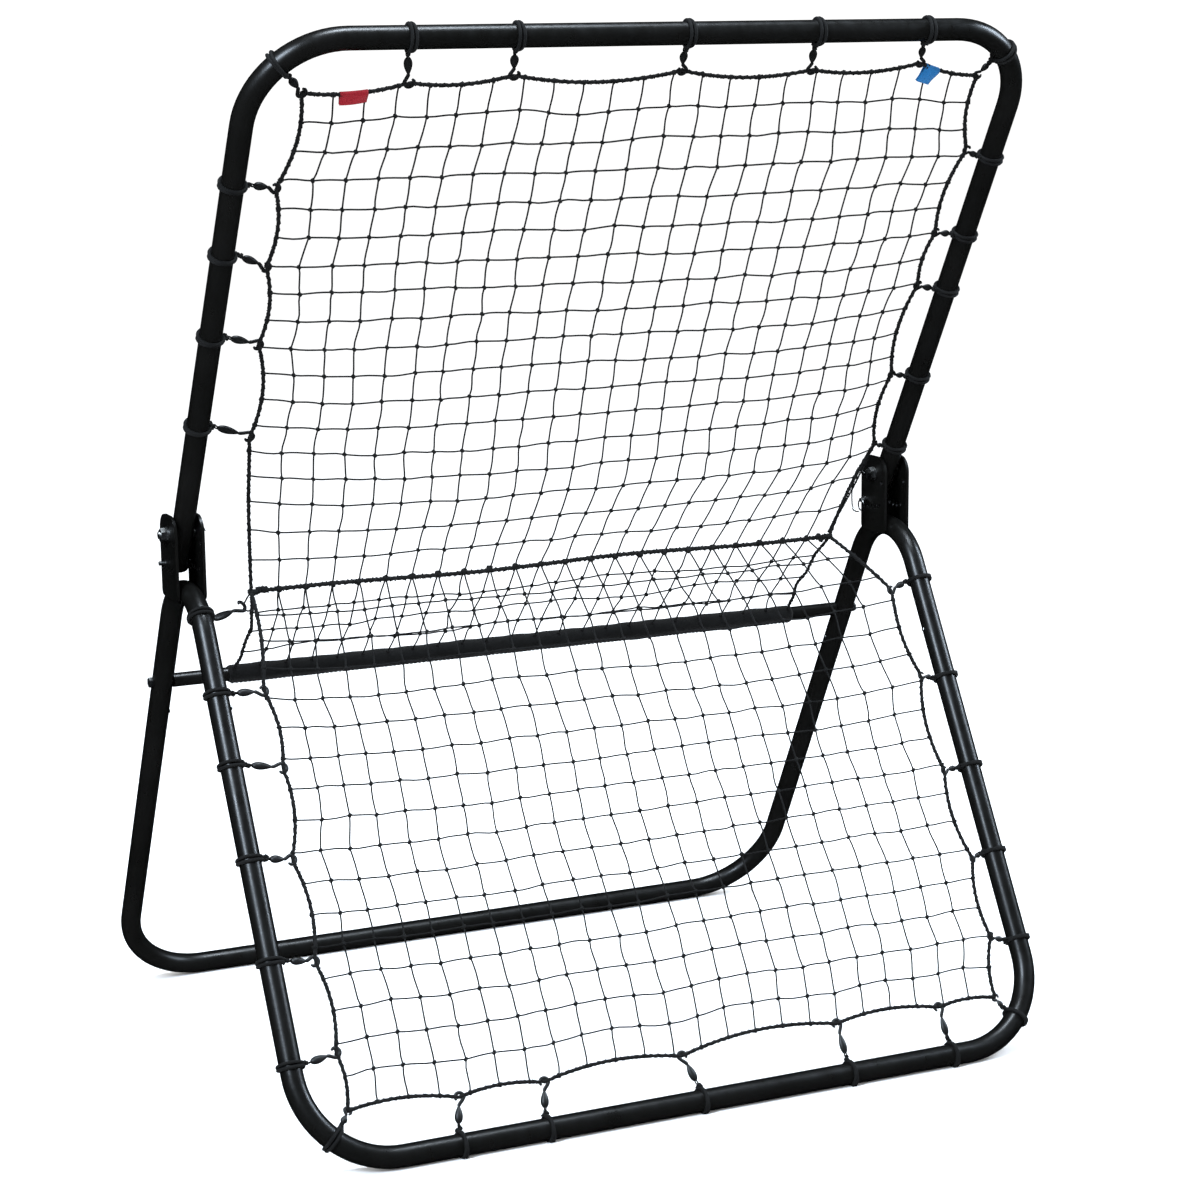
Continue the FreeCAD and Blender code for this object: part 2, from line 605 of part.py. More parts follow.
def wire_tube(points, radius, bend):
    """Round solid along straight runs with equal arcs at the corners."""
    edges = []
    start = points[0]
    for before, corner, after in zip(points, points[1:], points[2:]):
        back = (before - corner).normalize()
        ahead = (after - corner).normalize()
        turn = math.pi - back.getAngle(ahead)
        reach = bend * math.tan(turn / 2)
        first = corner + back * reach
        last = corner + ahead * reach
        to_centre = (back + ahead).normalize()
        middle = corner + to_centre * (bend / math.cos(turn / 2) - bend)
        edges.append(Part.LineSegment(start, first).toShape())
        edges.append(Part.Arc(first, middle, last).toShape())
        start = last
    edges.append(Part.LineSegment(start, points[-1]).toShape())
    path = Part.Wire(edges)
    section = Part.Wire([Part.Circle(points[0], points[1] - points[0], radius).toShape()])
    return path.makePipeShell([section], True, False)


def feature(label, shape):
    obj = doc.addObject("Part::Feature", label + "_shape")
    obj.Shape = shape
    obj.Placement = Placement()
    return keep(obj, label)


TETHER_R = 0.9
TETHER_BEND = 7
for side, name in SIDE_NAMES:
    x_face = side * (HALF - STACK - size("head_height") - 2)
    clip = PIVOT - UPPER_UP * size("lock_radius")
    route = [Vector(x_face, PIVOT.y + 4, PIVOT.z + 2), Vector(x_face - side * 4, PIVOT.y + 30, PIVOT.z - 4),
             Vector(x_face - side * 4, PIVOT.y + 36, PIVOT.z - 40),
             Vector(x_face - side * 6, clip.y + 2, clip.z - 2 * RING_R - 8),
             Vector(x_face - side * 4, clip.y - 6, clip.z - 2 * RING_R - 1)]
    feature("pin_tether_" + name, wire_tube(route, TETHER_R, TETHER_BEND))


# --- netting and its cords ----------------------------------------------------------------------

SEAM_GAP = 10


def net_panel(label, low, high, half_width="net_half"):
    """Flat closed sheet between two levels, with a little room at both ends."""
    run = high - low
    length = run.Length - 2 * SEAM_GAP
    up = Vector(run).normalize()
    normal = X_AXIS.cross(up)
    panel = doc.addObject("Part::Box", label + "_panel")
    bind(panel, Length=f"2 * Sizes.{half_width}", Width="Sizes.net_thick")
    panel.Height = length
    corner = low + up * SEAM_GAP - across(size(half_width)) - normal * (-size("net_thick") / 2)
    panel.Placement = Placement(corner, Rotation(X_AXIS, normal * -1, up, "ZXY"))
    return keep(panel, label)


NET_SPLIT = 25
upper_run = TOP_EDGE - FOLD
split = FOLD + upper_run * ((PIVOT.z + NET_SPLIT - FOLD.z) / upper_run.z)
net_panel("upper_net", split, TOP_EDGE)
net_panel("fold_net", FOLD, split, "fold_half")
net_panel("lower_net", FOOT_EDGE, FOLD)
to_sleeve = Vector(CROSSBAR - FOLD).normalize()
net_panel("anchor_net", CROSSBAR - to_sleeve * (size("sleeve_dia") / 2 - SEAM_GAP + 1), FOLD, "fold_half")

fold_start = along(FOLD - across(size("fold_half")), X_AXIS)
keep(cylinder("fold_cord_solid", fold_start, "Sizes.fold_dia / 2", "2 * Sizes.fold_half"), "fold_cord")

CORD_R = size("cord_dia") / 2
CORD_BEND = 14


def edge_cord(label, edge, side_end, ties):
    """Cord down one side, along the net's end and up the other side.

    side_end is where the side runs stop, and ties are further points from there inwards.
    """
    half = size("cord_half")
    right = [edge + across(half), side_end + across(half)] + ties
    left = [Vector(-point.x, point.y, point.z) for point in reversed(right)]
    return feature(label, wire_tube(left + right, CORD_R, CORD_BEND))


edge_cord("upper_edge_cord", TOP_EDGE, TOP_BAR - UPPER_UP * size("side_reach"), [])
tied = FOLD + across(size("fold_half") + size("fold_dia") + 2)
edge_cord("lower_edge_cord", FOOT_EDGE, FRONT_FOOT + FRONT_UP * size("side_reach"), [tied])

LABEL_SIZE = (18, 0.8, 24)
for colour, x in (("red", -411), ("blue", 411)):
    tag = doc.addObject("Part::Box", colour + "_tag_box")
    tag.Length, tag.Width, tag.Height = LABEL_SIZE
    place = TOP_EDGE - UPPER_UP * (LABEL_SIZE[2] + CORD_R) + UPPER_NORMAL * (size("net_thick") + 3)
    tag.Placement = Placement(place + across(x - LABEL_SIZE[0] / 2),
                              Rotation(X_AXIS, UPPER_NORMAL * -1, UPPER_UP, "ZXY"))
    keep(tag, colour + "_tag")


# --- elastic loops and S-hooks ------------------------------------------------------------------

FLOOR_BOX = Part.makeBox(4000, 4000, 1000, Vector(-2000, -2000, -1000))
LOOP_CLEAR = 0.8
HOOK_CLEAR = 1.5


def elastic_loop(point, tube_dir, target):
    """Band wound round a tube, with a gathered knot on the side of the net."""
    width = size("loop_width")
    start = point - tube_dir * (width / 2)
    band = Part.makeCylinder(TUBE_R + size("loop_thick"), width, start, tube_dir)
    aim = target - point
    to_net = (aim - tube_dir * aim.dot(tube_dir)).normalize()
    stem_end = TUBE_R + (target - point).Length * 0.18
    stem = Part.makeCylinder(size("knot_dia") / 4, stem_end, point, to_net)
    knot = Part.makeSphere(size("knot_dia") / 2, point + to_net * stem_end)
    reach = 5 * TUBE_R
    core = Part.makeCylinder(TUBE_R + LOOP_CLEAR, 2 * reach, point - tube_dir * reach, tube_dir)
    whole = band.fuse([stem, knot]).cut(core).cut(FLOOR_BOX)
    return whole.removeSplitter(), point + to_net * stem_end


def s_hook(knot, target, normal):
    """Open hook from a knot round the edge cord at the target."""
    ahead = (target - knot).normalize()
    square = (normal - ahead * normal.dot(ahead)).normalize()
    lift = square * size("hook_bend")
    start = knot + ahead * (size("knot_dia") / 2 + HOOK_CLEAR) + lift
    top = target + lift
    tip = target - lift
    far = target + ahead * size("hook_bend")
    path = Part.Wire([Part.LineSegment(start, top).toShape(), Part.Arc(top, far, tip).toShape()])
    section = Part.Wire([Part.Circle(start, ahead, size("hook_wire") / 2).toShape()])
    return path.makePipeShell([section], True, False)


def hang(label, fixings, normal):
    """One node of loops and one of hooks, for a list of (tube point, tube direction, net point)."""
    loops = []
    hooks = []
    for point, tube_dir, target in fixings:
        loop, knot = elastic_loop(point, tube_dir, target)
        loops.append(loop)
        hooks.append(s_hook(knot, target, normal))
    feature(label + "_loops", Part.makeCompound(loops))
    feature(label + "_hooks", Part.makeCompound(hooks))


def side_fixings(base, up, side, pairs):
    """Fixings on one side tube: pairs of (along the tube, along the net edge) from a bar's axis."""
    tube = across(side * HALF)
    edge = across(side * size("cord_half"))
    return [(base + tube + up * on_tube, up, base + edge + up * on_net) for on_tube, on_net in pairs]


def bar_fixings(bar, edge, spots):
    """Fixings on a cross tube: pairs of x on the tube and x on the net edge."""
    return [(bar + across(on_bar), X_AXIS, edge + across(on_net)) for on_bar, on_net in spots]


def corner_fixings(bar, up, bend, edge):
    """Fixings on the two rounded corners, halfway round each bend."""
    found = []
    inset = bend * (1 - math.sqrt(0.5))
    corner_in = CORD_BEND * (1 - math.sqrt(0.5))
    for side, _ in SIDE_NAMES:
        point = bar + across(side * (HALF - inset)) + up * inset
        tube_dir = (up + across(side)).normalize()
        inner = edge + across(side * (size("cord_half") - corner_in)) + up * corner_in
        found.append((point, tube_dir, inner))
    return found


DOWN = UPPER_UP * -1
TOP_SPOTS = ((-350, -340), (-207, -200), (30, 35), (219, 226), (385, 390))
FOOT_SPOTS = ((-344, -334), (-221, -213), (5, -9), (234, 232), (397, 396))
UPPER_LEFT = ((205, 211), (310, 330), (436, 452), (580, 603))
UPPER_RIGHT = ((202, 190), (330, 326), (424, 416), (578, 574), (708, 702))
LOWER_LEFT = ((137, 147), (274, 268), (412, 406), (542, 531), (642, 640))
LOWER_RIGHT = ((146, 157), (277, 271), (408, 406), (547, 552), (700, 690))
FOLD_HOOK_OUT = 34
FOLD_HOOK_DROP = 18
fold_catch = FOLD - across(size("fold_half") + FOLD_HOOK_OUT) - Vector(0, 0, FOLD_HOOK_DROP)
# The fold's loop sits a little way round the left apex bend.
FOLD_LOOP_TURN = math.radians(17)
bend_start = FRONT_FOOT - across(HALF) + FRONT_UP * (FRONT_TO_APEX - APEX_TANGENT)
to_back = X_AXIS.cross(FRONT_UP) * -1
loop_point = (bend_start + to_back * size("apex_bend") * (1 - math.cos(FOLD_LOOP_TURN))
              + FRONT_UP * size("apex_bend") * math.sin(FOLD_LOOP_TURN))
loop_way = FRONT_UP * math.cos(FOLD_LOOP_TURN) + to_back * math.sin(FOLD_LOOP_TURN)
fold_fixing = (loop_point, loop_way, fold_catch)

hang("top", bar_fixings(TOP_BAR, TOP_EDGE, TOP_SPOTS)
     + corner_fixings(TOP_BAR, DOWN, size("top_bend"), TOP_EDGE), UPPER_NORMAL)
hang("bottom", bar_fixings(FRONT_FOOT, FOOT_EDGE, FOOT_SPOTS)
     + corner_fixings(FRONT_FOOT, FRONT_UP, size("foot_bend"), FOOT_EDGE), FRONT_NORMAL)
hang("upper_left", side_fixings(TOP_BAR, DOWN, LEFT, UPPER_LEFT), UPPER_NORMAL)
hang("upper_right", side_fixings(TOP_BAR, DOWN, RIGHT, UPPER_RIGHT), UPPER_NORMAL)
hang("lower_left", side_fixings(FRONT_FOOT, FRONT_UP, LEFT, LOWER_LEFT) + [fold_fixing],
     FRONT_NORMAL)
hang("lower_right", side_fixings(FRONT_FOOT, FRONT_UP, RIGHT, LOWER_RIGHT), FRONT_NORMAL)

# The cord that ties the fold's right end up to the upper frame.
TIE_R = 1.5
tie_low = FOLD + across(size("fold_half") + TIE_R) + Vector(0, 0, size("fold_dia"))
tie_high = TOP_BAR + DOWN * 726 + across(HALF - TUBE_R - size("loop_thick") - 12)
tie = Part.makeCylinder(TIE_R, (tie_high - tie_low).Length, tie_low, tie_high - tie_low)
feature("fold_tie", tie)

doc.recompute()
for obj in doc.Objects:
    if "Invalid" in obj.State or "Error" in obj.State:
        raise RuntimeError(f"{obj.Name} ({obj.Label}) failed: {obj.State}")
for node in NODES:
    if node.Shape.isNull() or not node.Shape.isValid() or not node.Shape.Solids:
        raise RuntimeError(f"{node.Label} has no valid solid")

os.makedirs("parts", exist_ok=True)
for node in NODES:
    node.Shape.exportStep(f"parts/{node.Label}.step")
    print(f"{node.Label}: {len(node.Shape.Solids)} solids, {node.Shape.Volume / 1000:.1f} cm3")
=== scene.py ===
import math

import bpy
import numpy as np
from mathutils import Matrix, Vector


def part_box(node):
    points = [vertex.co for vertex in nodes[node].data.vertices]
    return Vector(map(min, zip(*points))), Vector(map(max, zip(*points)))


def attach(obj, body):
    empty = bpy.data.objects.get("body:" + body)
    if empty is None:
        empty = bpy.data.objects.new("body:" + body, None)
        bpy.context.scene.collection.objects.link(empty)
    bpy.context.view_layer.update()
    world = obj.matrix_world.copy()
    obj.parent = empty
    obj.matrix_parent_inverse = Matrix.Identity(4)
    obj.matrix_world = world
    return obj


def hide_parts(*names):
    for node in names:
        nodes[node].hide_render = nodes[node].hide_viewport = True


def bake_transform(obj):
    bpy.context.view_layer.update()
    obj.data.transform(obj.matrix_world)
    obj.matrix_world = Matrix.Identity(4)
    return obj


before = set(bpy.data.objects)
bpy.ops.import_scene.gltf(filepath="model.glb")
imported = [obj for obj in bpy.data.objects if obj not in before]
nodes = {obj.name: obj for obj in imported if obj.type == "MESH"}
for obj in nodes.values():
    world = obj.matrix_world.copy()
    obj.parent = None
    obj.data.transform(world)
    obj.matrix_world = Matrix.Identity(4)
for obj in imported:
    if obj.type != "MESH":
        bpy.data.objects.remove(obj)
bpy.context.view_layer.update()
rng = np.random.default_rng(7)

UP = np.array((0.0, 0.0, 1.0))
X = np.array((1.0, 0.0, 0.0))
TAU = 2 * math.pi


def unit(v):
    return np.asarray(v, float) / np.linalg.norm(v)


def middle(node):
    low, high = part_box(node)
    return (np.array(low) + np.array(high)) / 2


# --- the frame's lines, read from the CAD nodes (metres) ----------------------------------------

TUBE_R = (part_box("front_bar")[1][2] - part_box("front_bar")[0][2]) / 2
FOOT = middle("front_bar") * (0, 1, 1)
REAR = middle("rear_bar") * (0, 1, 1)
TOP = middle("top_bar") * (0, 1, 1)
PIVOT = middle("hinge_bushes") * (0, 1, 1)
FOLD = middle("fold_cord") * (0, 1, 1)
CROSS = middle("crossbar") * (0, 1, 1)
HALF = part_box("upper_tube_right")[1][0] - TUBE_R
SLEEVE_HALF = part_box("anchor_sleeve")[1][0]
LEAN = math.radians(30.56)
FRONT_UP = np.array((0, math.sin(LEAN), math.cos(LEAN)))
UPPER_DOWN = unit(PIVOT - TOP)
FRONT_NORMAL = np.cross(X, FRONT_UP)
UPPER_NORMAL = np.cross(X, -UPPER_DOWN)
FOLD_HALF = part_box("fold_cord")[1][0]


# --- mesh helpers -------------------------------------------------------------------------------

class Build:
    """Collects points and faces of one piece."""

    def __init__(self):
        self.points = []
        self.faces = []

    def add(self, points, faces):
        start = len(self.points)
        self.points.extend(map(tuple, points))
        self.faces.extend(tuple(start + i for i in face) for face in faces)

    def tube(self, path, radius, sides=8, closed=False, twist=0.0, lobes=0, lobe=0.0, flat=None):
        """Round tube along points; radius is a number or one per point.

        lobes and lobe give the section the strands of a rope, turned by twist along the way.
        flat is (direction, scale): the section is squeezed along that direction.
        """
        path = np.asarray(path, float)
        count = len(path)
        if closed:
            ahead = np.roll(path, -1, 0) - np.roll(path, 1, 0)
        else:
            ahead = np.gradient(path, axis=0)
        ahead = ahead / np.maximum(np.linalg.norm(ahead, axis=1, keepdims=True), 1e-9)
        side = np.cross(ahead[0], UP if abs(ahead[0][2]) < 0.9 else X)
        side = unit(side)
        radii = np.broadcast_to(np.asarray(radius, float), (count,))
        angles = np.arange(sides) * TAU / sides
        rings = []
        run = 0.0
        for i in range(count):
            side = side - ahead[i] * side.dot(ahead[i])
            side = unit(side)
            other = np.cross(ahead[i], side)
            if i:
                run += np.linalg.norm(path[i] - path[i - 1])
            wide = radii[i] * (1 + lobe * np.cos(lobes * angles + twist * run))
            ring = np.outer(np.cos(angles) * wide, side) + np.outer(np.sin(angles) * wide, other)
            if flat is not None:
                axis, scale = flat
                ring = ring - np.outer(ring @ axis, axis) * (1 - scale)
            rings.append(path[i] + ring)
        faces = []
        last = count if closed else count - 1
        for i in range(last):
            a = i * sides
            b = ((i + 1) % count) * sides
            for k in range(sides):
                n = (k + 1) % sides
                faces.append((a + k, a + n, b + n, b + k))
        if not closed:
            faces.append(tuple(reversed(range(sides))))
            faces.append(tuple((count - 1) * sides + k for k in range(sides)))
        self.add(np.concatenate(rings), faces)

    def blob(self, centre, radii, axis=UP, rough=0.0):
        """Small lumpy ball: radii are (across, along the axis)."""
        axis = unit(axis)
        side = unit(np.cross(axis, X if abs(axis[0]) < 0.9 else UP))
        other = np.cross(axis, side)
        points = [centre + axis * radii[1]]
        spokes = 7
        for level in (0.5, -0.5):
            for k in range(spokes):
                a = TAU * (k + level) / spokes
                swell = 1 + rough * rng.uniform(-1, 1)
                wide = radii[0] * math.sqrt(1 - level * level) * swell
                points.append(centre + axis * radii[1] * level + (side * math.cos(a)
                              + other * math.sin(a)) * wide)
        points.append(centre - axis * radii[1])
        end = len(points) - 1
        faces = []
        for k in range(spokes):
            n = (k + 1) % spokes
            faces.append((0, 1 + k, 1 + n))
            faces.append((1 + k, 1 + spokes + k, 1 + spokes + n, 1 + n))
            faces.append((end, 1 + spokes + n, 1 + spokes + k))
        self.add(points, faces)

    def piece(self, name, material, body=None, smooth=True):
        mesh = bpy.data.meshes.new(name)
        mesh.from_pydata(self.points, [], self.faces)
        mesh.materials.append(material)
        mesh.update()
        if smooth:
            mesh.shade_smooth()
        obj = bpy.data.objects.new(name, mesh)
        bpy.context.scene.collection.objects.link(obj)
        if body:
            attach(obj, body)
        return obj


def smooth_path(points, step):
    """Catmull-Rom curve through the points, sampled about every step metres."""
    points = [np.asarray(p, float) for p in points]
    points = [2 * points[0] - points[1]] + points + [2 * points[-1] - points[-2]]
    out = []
    for a, b, c, d in zip(points, points[1:], points[2:], points[3:]):
        count = max(2, int(np.linalg.norm(c - b) / step))
        for t in np.arange(count) / count:
            out.append(0.5 * ((2 * b) + (c - a) * t + (2 * a - 5 * b + 4 * c - d) * t ** 2
                              + (3 * b - a - 3 * c + d) * t ** 3))
    out.append(points[-2])
    return np.array(out)


def resample(path, step):
    path = np.asarray(path, float)
    run = np.concatenate(([0], np.cumsum(np.linalg.norm(np.diff(path, axis=0), axis=1))))
    count = max(2, int(run[-1] / step) + 1)
    spots = np.linspace(0, run[-1], count)
    return np.stack([np.interp(spots, run, path[:, k]) for k in range(3)], axis=1)


# --- materials ----------------------------------------------------------------------------------

def new_material(name):
    material = bpy.data.materials.new(name)
    material.use_nodes = True
    tree = material.node_tree
    return material, tree.nodes, tree.links, tree.nodes["Principled BSDF"]


def noise(tree_nodes, links, scale, detail=4.0, rough=0.55, stretch=(1, 1, 1)):
    place = tree_nodes.new("ShaderNodeTexCoord")
    fit = tree_nodes.new("ShaderNodeMapping")
    fit.inputs["Scale"].default_value = stretch
    pattern = tree_nodes.new("ShaderNodeTexNoise")
    pattern.inputs["Scale"].default_value = scale
    pattern.inputs["Detail"].default_value = detail
    pattern.inputs["Roughness"].default_value = rough
    links.new(place.outputs["Object"], fit.inputs["Vector"])
    links.new(fit.outputs["Vector"], pattern.inputs["Vector"])
    return pattern


def ramp(tree_nodes, links, source, stops):
    curve = tree_nodes.new("ShaderNodeValToRGB")
    elements = curve.color_ramp.elements
    while len(elements) < len(stops):
        elements.new(0.5)
    for element, (spot, colour) in zip(elements, stops):
        element.position = spot
        element.color = (*colour, 1)
    links.new(source, curve.inputs["Fac"])
    return curve


def grey(value):
    return (value, value, value)


def bump(tree_nodes, links, source, shader, strength, distance, before=None):
    node = tree_nodes.new("ShaderNodeBump")
    node.inputs["Strength"].default_value = strength
    node.inputs["Distance"].default_value = distance
    links.new(source, node.inputs["Height"])
    if before:
        links.new(before.outputs["Normal"], node.inputs["Normal"])
    links.new(node.outputs["Normal"], shader.inputs["Normal"])
    return node


def powder_coat():
    """Semi-gloss black powder coat: orange peel, faint dust and a few rubbed spots."""
    material, tn, links, shader = new_material("black_powder_coat")
    cloud = noise(tn, links, 9, 5)
    colour = ramp(tn, links, cloud.outputs["Fac"], ((0.3, (0.0028, 0.0027, 0.0023)),
                                                    (0.75, (0.0046, 0.0044, 0.0040))))
    links.new(colour.outputs["Color"], shader.inputs["Base Color"])
    scuff = noise(tn, links, 60, 6, 0.7, (1, 1, 0.35))
    gloss = ramp(tn, links, scuff.outputs["Fac"], ((0.35, grey(0.27)), (0.7, grey(0.40))))
    links.new(gloss.outputs["Color"], shader.inputs["Roughness"])
    peel = noise(tn, links, 900, 2)
    grain = bump(tn, links, peel.outputs["Fac"], shader, 0.18, 0.0004)
    ripple = noise(tn, links, 140, 2)
    bump(tn, links, ripple.outputs["Fac"], shader, 0.12, 0.0008, grain)
    shader.inputs["Specular IOR Level"].default_value = 0.4
    return material


def zinc():
    """Bright zinc plate with fine brushed streaks and a little tarnish."""
    material, tn, links, shader = new_material("zinc_steel")
    stain = noise(tn, links, 180, 5)
    colour = ramp(tn, links, stain.outputs["Fac"], ((0.3, (0.40, 0.40, 0.39)),
                                                    (0.7, (0.60, 0.60, 0.58))))
    links.new(colour.outputs["Color"], shader.inputs["Base Color"])
    streak = noise(tn, links, 400, 3, 0.6, (6, 1, 1))
    gloss = ramp(tn, links, streak.outputs["Fac"], ((0.3, grey(0.22)), (0.7, grey(0.42))))
    links.new(gloss.outputs["Color"], shader.inputs["Roughness"])
    bump(tn, links, streak.outputs["Fac"], shader, 0.25, 0.0002)
    shader.inputs["Metallic"].default_value = 1.0
    return material


def fibre(name, dark, light, twist_scale, stretch, sheen=0.05, strength=0.6):
    """Matt fibre: colour varies a little and fine threads show in the bump."""
    material, tn, links, shader = new_material(name)
    tone = noise(tn, links, 55, 4)
    colour = ramp(tn, links, tone.outputs["Fac"], ((0.3, dark), (0.75, light)))
    links.new(colour.outputs["Color"], shader.inputs["Base Color"])
    thread = noise(tn, links, twist_scale, 3, 0.6, stretch)
    gloss = ramp(tn, links, thread.outputs["Fac"], ((0.3, grey(0.62)), (0.7, grey(0.9))))
    links.new(gloss.outputs["Color"], shader.inputs["Roughness"])
    bump(tn, links, thread.outputs["Fac"], shader, strength, 0.0006)
    shader.inputs["Sheen Weight"].default_value = sheen
    shader.inputs["Sheen Roughness"].default_value = 0.45
    shader.inputs["Specular IOR Level"].default_value = 0.15
    return material


def woven(name, dark, light, threads, strength=0.7):
    """Plain weave: two crossing waves, with slubs and slight fading."""
    material, tn, links, shader = new_material(name)
    tone = noise(tn, links, 40, 5)
    colour = ramp(tn, links, tone.outputs["Fac"], ((0.25, dark), (0.8, light)))
    links.new(colour.outputs["Color"], shader.inputs["Base Color"])
    place = tn.new("ShaderNodeTexCoord")
    waves = []
    for direction in ("X", "Z"):
        wave = tn.new("ShaderNodeTexWave")
        wave.bands_direction = direction
        wave.inputs["Scale"].default_value = threads
        wave.inputs["Distortion"].default_value = 0.6
        wave.inputs["Detail"].default_value = 2.0
        links.new(place.outputs["Object"], wave.inputs["Vector"])
        waves.append(wave)
    mix = tn.new("ShaderNodeMath")
    mix.operation = "MAXIMUM"
    links.new(waves[0].outputs["Fac"], mix.inputs[0])
    links.new(waves[1].outputs["Fac"], mix.inputs[1])
    gloss = ramp(tn, links, mix.outputs["Value"], ((0.2, grey(0.95)), (0.9, grey(0.7))))
    links.new(gloss.outputs["Color"], shader.inputs["Roughness"])
    bump(tn, links, mix.outputs["Value"], shader, strength, 0.0004)
    shader.inputs["Sheen Weight"].default_value = 0.06
    shader.inputs["Specular IOR Level"].default_value = 0.12
    return material


def hook_plastic():
    """Moulded black nylon with a slight sheen and moulding texture."""
    material, tn, links, shader = new_material("hook_plastic")
    tone = noise(tn, links, 120, 3)
    colour = ramp(tn, links, tone.outputs["Fac"], ((0.3, grey(0.004)), (0.7, grey(0.008))))
    links.new(colour.outputs["Color"], shader.inputs["Base Color"])
    skin = noise(tn, links, 700, 2)
    gloss = ramp(tn, links, skin.outputs["Fac"], ((0.3, grey(0.34)), (0.7, grey(0.5))))
    links.new(gloss.outputs["Color"], shader.inputs["Roughness"])
    bump(tn, links, skin.outputs["Fac"], shader, 0.2, 0.0003)
    return material


COAT = powder_coat()
ZINC = zinc()
TWINE = fibre("net_twine", grey(0.003), grey(0.008), 900, (1, 1, 1), 0.02, 0.5)
CORD = fibre("edge_cord", grey(0.003), grey(0.008), 700, (1, 1, 1), 0.03)
ELASTIC = fibre("elastic", grey(0.003), grey(0.007), 800, (1, 1, 1), 0.03)
HOOK = hook_plastic()
SLEEVE = woven("sleeve_fabric", grey(0.0012), grey(0.0032), 320)
RED = woven("red_fabric", (0.17, 0.003, 0.008), (0.26, 0.006, 0.014), 420)
BLUE = woven("blue_fabric", (0.004, 0.075, 0.21), (0.008, 0.12, 0.31), 420)

STEEL_NODES = ("hinge_", "lock_pin", "snap_", "crossbar_bolts", "crossbar_plugs")
for name, obj in nodes.items():
    finish = ZINC if name.startswith(STEEL_NODES) else COAT
    obj.data.materials.clear()
    obj.data.materials.append(finish)


# --- camera, floor and light --------------------------------------------------------------------

CAMERA = (-1.6568, -3.7209, 1.454)
YAW, PITCH, ROLL = (math.radians(a) for a in (24.78, -11.51, -0.61))
look = Vector((math.sin(YAW) * math.cos(PITCH), math.cos(YAW) * math.cos(PITCH), math.sin(PITCH)))
level = Vector((math.cos(YAW), -math.sin(YAW), 0))
above = level.cross(look)
right = level * math.cos(ROLL) + above * math.sin(ROLL)
top = above * math.cos(ROLL) - level * math.sin(ROLL)
camera_data = bpy.data.cameras.new("camera")
camera_data.sensor_width = 36
camera_data.lens = 86.84
camera = bpy.data.objects.new("camera", camera_data)
camera.matrix_world = Matrix((
    (right.x, top.x, -look.x, CAMERA[0]), (right.y, top.y, -look.y, CAMERA[1]),
    (right.z, top.z, -look.z, CAMERA[2]), (0, 0, 0, 1)))
bpy.context.scene.collection.objects.link(camera)
bpy.context.scene.camera = camera

floor_mesh = bpy.data.meshes.new("floor")
REACH = 30
floor_mesh.from_pydata([(-REACH, -REACH, 0), (REACH, -REACH, 0), (REACH, REACH, 0), (-REACH, REACH, 0)],
                       [], [(0, 1, 2, 3)])
floor = bpy.data.objects.new("floor", floor_mesh)
bpy.context.scene.collection.objects.link(floor)
floor_material, tn, links, shader = new_material("pale_floor")
shader.inputs["Base Color"].default_value = (0.95, 0.95, 0.95, 1)
shader.inputs["Roughness"].default_value = 0.9
shader.inputs["Specular IOR Level"].default_value = 0.1
floor_mesh.materials.append(floor_material)

world = bpy.data.worlds.new("studio")
bpy.context.scene.world = world
world.use_nodes = True
sky = world.node_tree.nodes["Background"]
sky.inputs["Color"].default_value = (1, 1, 1, 1)
sky.inputs["Strength"].default_value = 1.12
world.cycles_visibility.glossy = False
floor.visible_glossy = False
bpy.context.scene.view_settings.view_transform = "Standard"


def softbox(name, spot, target, power, width, height, colour=(1, 1, 1)):
    data = bpy.data.lights.new(name, "AREA")
    data.shape = "RECTANGLE"
    data.size = width
    data.size_y = height
    data.energy = power
    data.color = colour
    lamp = bpy.data.objects.new(name, data)
    lamp.location = spot
    lamp.rotation_euler = (Vector(target) - Vector(spot)).to_track_quat("-Z", "Y").to_euler()
    bpy.context.scene.collection.objects.link(lamp)


softbox("key", (-3.4, -2.2, 3.6), (0, 0, 0.7), 260, 0.9, 1.8, (0.74, 0.86, 1))
softbox("fill", (3.6, -1.0, 2.6), (0, 0, 0.7), 130, 0.6, 1.8, (0.74, 0.86, 1))
softbox("top", (0.3, -0.6, 4.6), (0, 0, 0.7), 160, 1.8, 0.8, (0.80, 0.90, 1))


# --- the net's edges ----------------------------------------------------------------------------
# Each list holds the places where a hook pulls the edge, in metres: for a side edge, the distance
# from the bar's axis along the tube and the distance from the middle; for an end edge, x and the
# distance from the bar's axis.

UPPER_LEFT = ((0.075, 0.479), (0.211, 0.494), (0.330, 0.490), (0.452, 0.484), (0.603, 0.476))
UPPER_RIGHT = ((0.071, 0.486), (0.190, 0.508), (0.326, 0.501), (0.416, 0.500), (0.574, 0.505),
               (0.702, 0.514))
LOWER_LEFT = ((0.068, 0.488), (0.147, 0.487), (0.268, 0.491), (0.406, 0.494), (0.531, 0.481),
              (0.640, 0.486))
LOWER_RIGHT = ((0.068, 0.490), (0.157, 0.509), (0.271, 0.514), (0.406, 0.507), (0.552, 0.511),
               (0.690, 0.503))
TOP_EDGE = ((-0.479, 0.075), (-0.340, 0.064), (-0.200, 0.056), (0.035, 0.054), (0.226, 0.057),
            (0.390, 0.050), (0.486, 0.071))
FOOT_EDGE = ((-0.488, 0.068), (-0.334, 0.061), (-0.213, 0.061), (-0.009, 0.063), (0.232, 0.070),
             (0.396, 0.068), (0.490, 0.068))


